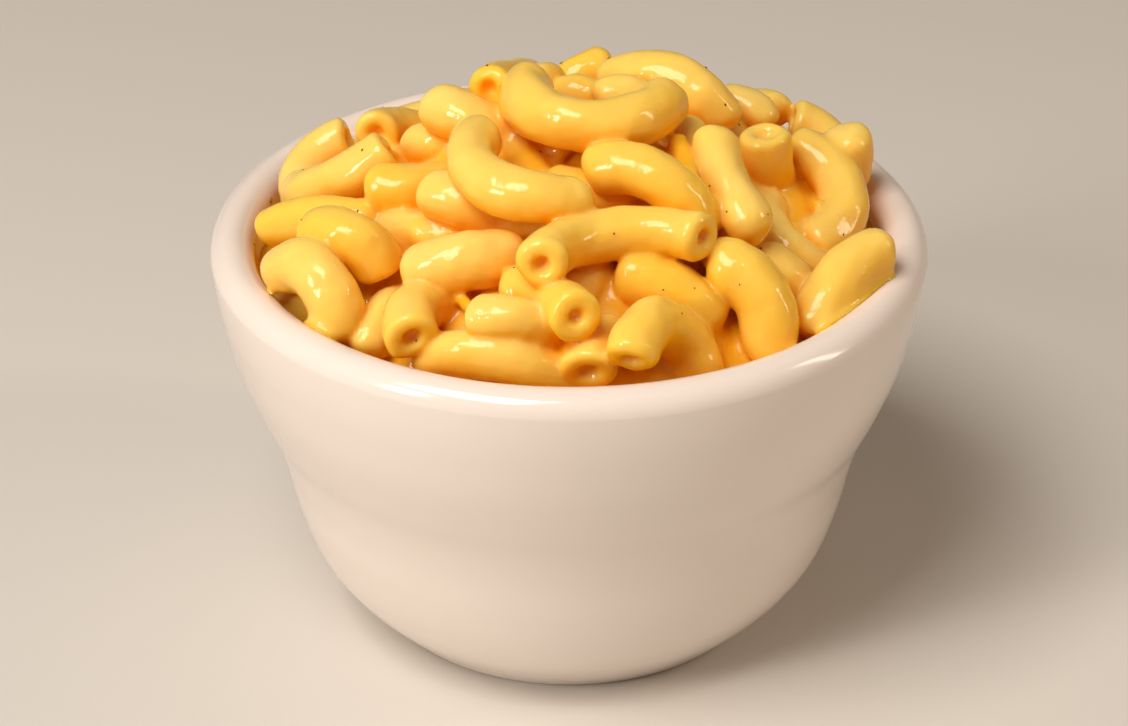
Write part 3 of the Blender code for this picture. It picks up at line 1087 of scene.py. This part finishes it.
    def crevice_shade(self, points: np.ndarray, normals: np.ndarray, block: np.ndarray) -> np.ndarray:
        """How shut in the skin is: the share of sauce and pasta in a box about a spot just outside it. The
        material uses it as painted shade, deeper orange in crowded crevices.

        Args:
            points: The skin's points.
            normals: The skin's normals.
            block: The block of distances.

        Returns:
            One value from 0 to 1 for each point.
        """
        full = (block < 0).astype(np.float32)
        span = int(round(self.shelter_reach / self.cell))
        for axis in range(3):
            ends = [(span + 1, span) if a == axis else (0, 0) for a in range(3)]
            total = np.cumsum(np.pad(full, ends, mode="edge"), axis=axis)
            upper = np.take(total, np.arange(2 * span + 1, total.shape[axis]), axis=axis)
            lower = np.take(total, np.arange(0, total.shape[axis] - 2 * span - 1), axis=axis)
            full = (upper - lower) / (2 * span + 1)
        first = np.array([-self.reach, -self.reach, self.bottom])
        outside = points + self.shelter_lift * normals
        cells = np.round((outside - first) / self.cell).astype(int)
        cells = np.clip(cells, 0, np.array(full.shape) - 1)
        crowd = full[cells[:, 0], cells[:, 1], cells[:, 2]]
        low, width = self.crevice_shade_range
        return np.clip((crowd - low) / width, 0, 1)

    def traits(self, points: np.ndarray, normals: np.ndarray, block: np.ndarray) -> dict[str, np.ndarray]:
        """Tone, pooling, painted crevice shade, and the share of painted shade and run-down sauce on the
        sides turned from the top softbox.

        Args:
            points: The skin's points.
            normals: The skin's normals.
            block: The block of distances.

        Returns:
            Values from 0 to 1 by name.
        """
        straight = points - self.warped(points)
        bare = np.full(len(points), self.far)
        tone = np.full(len(points), self.sauce_tone)
        for elbow, chosen in zip(self.elbows, self.close_points(points)):
            away = elbow.distance(straight[chosen])
            closer = away < bare[chosen]
            bare[chosen[closer]] = away[closer]
            tone[chosen[closer]] = elbow.tone
        start, width = self.pool_range
        pooling = np.clip((bare - self.coat - start) / width, 0, 1)
        start, width = self.runoff_and_shade_range
        # Painted shade, partly sauce run-down: the share grows on sides turned from the top softbox.
        runoff_and_painted_shade = np.clip((start - normals @ np.array(self.shed_and_light_way)) / width, 0, 1)
        # Painted shade: crowded crevices turn deeper orange.
        crevice_shade = self.crevice_shade(points, normals, block)
        return {"tone": tone, "pooling": pooling, "crevice_shade": crevice_shade, "runoff_and_painted_shade": runoff_and_painted_shade}

    def build(self) -> bpy.types.Object:
        """Makes the sauce's mesh and dresses it."""
        points, quads, normals, block = self.surface()
        traits = self.traits(points, normals, block)
        lifted = points + np.array([0, 0, self.bowl.height])
        a, b, c = (lifted[quads[:, k]] for k in (0, 1, 2))
        if np.einsum("ij,ij->i", np.cross(b - a, c - a), normals[quads[:, 0]]).sum() < 0:
            quads = quads[:, ::-1]
        faces = [tuple(dict.fromkeys(face)) for face in quads.tolist()]
        piece = new_piece("cheese_sauce", lifted, faces, [CheeseSauce().make()])
        for name, values in traits.items():
            layer = piece.data.attributes.new(name, "FLOAT", "POINT")
            layer.data.foreach_set("value", values.astype(np.float32))
        piece.data.normals_split_custom_set_from_vertices(normals.tolist())
        return join_to_root(piece, "cheese_macaroni", "macaroni_heap")


@dataclass
class Macaroni:
    """The elbows themselves, each a closed tube with plugged bores, under their coat of sauce."""

    elbows: list[Elbow]
    sauce: SauceBody
    sides: int = 18
    spans: int = 13
    inset: float = 0.14
    end_steps: int = 7
    wall_gap: float = 0.1

    def head(self, elbow: Elbow, is_cut: bool) -> list[Span]:
        """The section of one end, from its middle out to the tube's side.

        Args:
            elbow: The elbow it belongs to.
            is_cut: Whether the end is cut open, rather than shut and round.

        Returns:
            Pairs of distance in from the end and distance from the tube's middle.
        """
        bore = elbow.radius * elbow.bore_share
        wall = elbow.radius - self.inset
        lip = elbow.lip
        if not is_cut:
            lip = elbow.radius * elbow.shut_share
            turns = [math.radians(90 * step / self.end_steps) for step in range(self.end_steps + 1)]
            round_end = [
                (self.inset + lip * (1 - math.cos(turn)), wall - lip + lip * math.sin(turn)) for turn in turns
            ]
            return [(self.inset, 0.0), *round_end]
        # From the plug, out along the bore, over its edge, across the cut face and round the lip.
        return [
            (elbow.bore_depth, 0.0),
            (elbow.bore_depth, bore * 0.9),
            (elbow.bore_depth * 0.5, bore),
            (0.8, bore + 0.05),
            (self.inset + 0.15, bore + 0.25),
            (self.inset, (bore + wall) / 2),
            (self.inset + 0.3 * lip, wall - 0.3 * lip),
            (self.inset + lip, wall),
        ]

    def build(self) -> bpy.types.Object:
        """Makes all the elbows as one mesh."""
        around = np.arange(self.sides) * 2 * math.pi / self.sides
        ones = np.ones(self.sides)
        blocks: list[np.ndarray] = []
        faces: list[np.ndarray] = []
        start = 0
        for elbow in self.elbows:
            first, last = (self.head(elbow, is_cut) for is_cut in elbow.cut.value)
            length = elbow.bend_radius * elbow.sweep
            start_at, stop_at = first[-1][0], length - last[-1][0]
            side_reach = first[-1][1]
            places = [start_at + (stop_at - start_at) * step / self.spans for step in range(1, self.spans)]
            tube = [(place, side_reach) for place in places]
            stations = first + tube + [(length - inward, reach) for inward, reach in reversed(last)]
            rings = [
                elbow.spots(ones * place / elbow.bend_radius, ones * reach, around)
                for place, reach in stations
            ]
            block = np.vstack(rings)
            block = block + self.sauce.warped(block + self.sauce.warped(block))
            wall = self.sauce.to_china(block)
            outward = np.hypot(block[:, 0], block[:, 1])[:, None]
            block[:, :2] -= block[:, :2] / outward * np.maximum(self.wall_gap - wall, 0)[:, None]
            blocks.append(block)
            ring = np.arange(len(stations) - 1)[:, None] * self.sides
            side = np.arange(self.sides)[None]
            after = (side + 1) % self.sides
            next_ring = ring + self.sides
            quads = np.stack([ring + side, next_ring + side, next_ring + after, ring + after], axis=-1)
            faces.append(quads.reshape(-1, 4) + start)
            start += len(block)
        points = np.vstack(blocks) + np.array([0, 0, self.sauce.bowl.height])
        piece = new_piece("elbow_macaroni", points, np.vstack(faces).tolist(), [BoiledPasta().make()])
        return join_to_root(piece, "cheese_macaroni", "macaroni_heap")


@dataclass
class PepperSpecks:
    """Specks of ground pepper, caught half sunk in the sauce wherever they fell."""

    sauce: bpy.types.Object
    count: int = 80
    apart: float = 3.0
    lowest: float = -6.0
    least_upward: float = 0.1
    radius: Span = (0.11, 0.24)
    raggedness: Span = (0.7, 1.2)
    narrowness: Span = (0.6, 1.0)
    flatness: float = 0.55
    seed: int = 31

    def build(self) -> bpy.types.Object:
        """Scatters the specks over the sauce's upper side and joins them to one mesh."""
        mesh = self.sauce.data
        places = np.empty(3 * len(mesh.vertices))
        normals = np.empty(3 * len(mesh.vertices))
        mesh.vertices.foreach_get("co", places)
        mesh.vertices.foreach_get("normal", normals)
        places, normals = places.reshape(-1, 3) / MM, normals.reshape(-1, 3)
        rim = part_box("bowl")[1].z / MM
        faces_up = normals[:, 2] > self.least_upward
        fallen_on = np.flatnonzero(faces_up & (places[:, 2] > rim + self.lowest))
        draw = np.random.default_rng(self.seed)
        chosen: list[int] = []
        for number in draw.permutation(fallen_on):
            if len(chosen) == self.count:
                break
            if all(np.linalg.norm(places[number] - places[other]) > self.apart for other in chosen):
                chosen.append(int(number))
        flake = bmesh.new()
        bmesh.ops.create_icosphere(flake, subdivisions=1, radius=1.0)
        form = np.array([corner.co[:] for corner in flake.verts])
        sides = np.array([[corner.index for corner in side.verts] for side in flake.faces])
        flake.free()
        blocks = []
        for number in chosen:
            ragged = form * draw.uniform(*self.raggedness, (len(form), 1)) * draw.uniform(*self.radius)
            upright = Vector(normals[number]).to_track_quat("Z", "Y").to_matrix()
            squashed = np.diag([draw.uniform(*self.narrowness), 1.0, self.flatness])
            blocks.append(ragged @ squashed @ np.array(upright).T + places[number])
        faces = np.vstack([sides + len(form) * number for number in range(len(blocks))])
        piece = new_piece("pepper_specks", np.vstack(blocks), faces.tolist(), [GroundPepper().make()])
        return join_to_root(piece, "cheese_macaroni")


# ---- Studio --------------------


@dataclass(frozen=True)
class SoftLight:
    """One rectangular softbox, aimed at the bowl. Its place and size are metres."""

    name: str
    place: Spot
    width: float
    height: float
    watts: float
    colour: str
    aim: Spot = (0.0, 0.0, 0.05)

    def build(self) -> bpy.types.Object:
        """Makes the light."""
        lamp = bpy.data.lights.new(self.name, "AREA")
        lamp.shape = "RECTANGLE"
        lamp.size = self.width
        lamp.size_y = self.height
        lamp.energy = self.watts
        lamp.color = linear(self.colour)[:3]
        light = bpy.data.objects.new(self.name, lamp)
        light.location = self.place
        light.rotation_euler = (Vector(self.aim) - Vector(self.place)).to_track_quat("-Z", "Y").to_euler()
        bpy.context.scene.collection.objects.link(light)
        return light


@dataclass(frozen=True)
class Studio:
    """Pale table, plain soft light and the camera."""

    aim_mm: Spot = (-0.7, 0.0, 35.85)
    elevation: float = 29.5
    distance_mm: float = 500.0
    lens_mm: float = 114.2
    sensor_mm: float = 36.0
    half_table_mm: float = 1500.0
    air: str = "F8E2CC"
    air_strength: float = 0.15
    lights: tuple[SoftLight, ...] = (
        SoftLight("top_softbox", (-0.30, -0.34, 0.82), 0.48, 0.40, 6.4, "FFF8F0"),
        SoftLight("left_softbox", (-0.72, -0.56, 0.50), 0.20, 0.34, 3.9, "FFF6EE"),
        SoftLight("side_strip", (0.80, -0.06, 0.44), 0.08, 0.50, 1.7, "FFE8D2"),
    )

    def build(self) -> None:
        """Sets up the table, the lights and the camera."""
        self.table()
        for light in self.lights:
            light.build()
        self.camera()
        scene = bpy.context.scene
        scene.view_settings.view_transform = "Standard"
        world = bpy.data.worlds.new("studio_air")
        world.use_nodes = True
        sky = world.node_tree.nodes["Background"]
        feed(sky, {"Color": linear(self.air), "Strength": self.air_strength})
        scene.world = world

    def table(self) -> bpy.types.Object:
        """The plain pale surface under the bowl."""
        half = self.half_table_mm
        points = np.array([(-half, -half, 0), (half, -half, 0), (half, half, 0), (-half, half, 0)])
        board = new_piece("pale_table", points, [(0, 1, 2, 3)], [PaleTable().make()])
        return board

    def camera(self) -> bpy.types.Object:
        """The camera, looking along +Y and down."""
        lens = bpy.data.cameras.new("studio_camera")
        lens.lens = self.lens_mm
        lens.sensor_width = self.sensor_mm
        lens.sensor_fit = "HORIZONTAL"
        lens.clip_start = 0.01
        lens.clip_end = 10.0
        tilt = math.radians(self.elevation)
        aim = Vector(self.aim_mm) * MM
        eye = bpy.data.objects.new("studio_camera", lens)
        eye.location = aim + self.distance_mm * MM * Vector((0.0, -math.cos(tilt), math.sin(tilt)))
        eye.rotation_euler = (math.radians(90) - tilt, 0.0, 0.0)
        bpy.context.scene.collection.objects.link(eye)
        bpy.context.scene.camera = eye
        return eye


def main() -> None:
    """Builds the bowl, the sauce, the pepper, the macaroni and the studio, and notes the sizes."""
    logging.basicConfig(level=logging.INFO, format="%(name)s %(message)s")
    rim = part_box("bowl")[1].z / MM
    bowl = ChinaBowl(height=rim)
    bowl.build()
    layout = HeapLayout()
    elbows = layout.elbows()
    strands = [Elbow(*row) for row in STRANDS]
    sauce = SauceBody(elbows, strands, bowl, layout.dome)
    PepperSpecks(sauce.build()).build()
    Macaroni(elbows, sauce).build()
    Studio().build()


if __name__ == "__main__":
    main()
